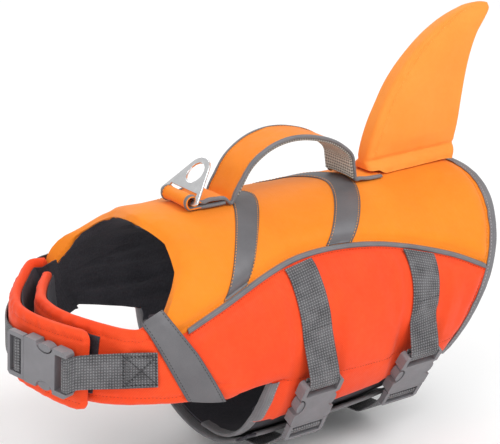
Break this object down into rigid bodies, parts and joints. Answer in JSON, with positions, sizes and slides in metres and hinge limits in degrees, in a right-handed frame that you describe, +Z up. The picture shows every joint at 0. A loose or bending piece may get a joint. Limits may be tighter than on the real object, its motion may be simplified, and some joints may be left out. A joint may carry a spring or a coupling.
{
  "type": "dog life jacket",
  "caption": "Padded dog life jacket filled out as worn, with back fin, grab handle, leash ring, chest wings and webbing straps closed by side-release buckles.",
  "frame": {"origin": "where the wearer's back carries the jacket: the inner face of the lining over the spine, 103 mm behind the neck edge", "axes": "X along the spine, head towards -X; the buckled side is -Y; +Z up"},
  "size_m": [0.4152, 0.1925, 0.2914],
  "materials": {
    "yellow_orange_cloth": "woven polyester, matt",
    "fin_cloth": "woven polyester, matt",
    "red_orange_cloth": "woven polyester, matt",
    "black_lining": "soft knitted lining, matt",
    "grey_binding": "woven edge binding, matt",
    "reflective_tape": "smooth grey tape, satin",
    "grey_webbing": "woven webbing, matt",
    "air_mesh": "open spacer mesh, matt",
    "grey_plastic": "moulded, matt",
    "bright_steel": "polished plate"
  },
  "bodies": {
    "jacket": {"arch_tape_far": "grey_binding", "arch_tape_near": "grey_binding", "back_panel": "yellow_orange_cloth", "binding_flap": "grey_binding", "binding_leg_far": "grey_binding", "binding_leg_near": "grey_binding", "binding_rear": "grey_binding", "fastening_patch": "black_lining", "fin": "fin_cloth", "flap_far": "black_lining", "flap_near": "black_lining", "handle_binding_far": "grey_binding", "handle_binding_near": "grey_binding", "handle_cover": "yellow_orange_cloth", "handle_grip": "air_mesh", "lining_back": "black_lining", "lining_side_far": "black_lining", "lining_side_near": "black_lining", "plug_belly_front": "grey_plastic", "plug_belly_rear": "grey_plastic", "plug_chest": "grey_plastic", "side_panel_far": "red_orange_cloth", "side_panel_near": "red_orange_cloth", "socket_belly_front": "grey_plastic", "socket_belly_rear": "grey_plastic", "socket_chest": "grey_plastic", "tape_diagonal_far": "reflective_tape", "tape_diagonal_near": "reflective_tape", "tape_front": "reflective_tape", "tape_rear": "reflective_tape", "webbing_belly_lower_front": "grey_webbing", "webbing_belly_lower_rear": "grey_webbing", "webbing_belly_upper_front": "grey_webbing", "webbing_belly_upper_rear": "grey_webbing", "webbing_chest_far": "grey_webbing", "webbing_chest_near": "grey_webbing", "wing_far": "red_orange_cloth", "wing_lining_far": "black_lining", "wing_lining_near": "black_lining", "wing_near": "red_orange_cloth"},
    "ring": {"leash_ring": "bright_steel"}
  },
  "joints": [
    {"name": "ring_swing", "type": "hinge", "parent": "jacket", "child": "ring", "pos_m": [-0.061, 0, 0.02128], "axis": [0, 1, 0], "range_deg": [-125, 15]}
  ]
}
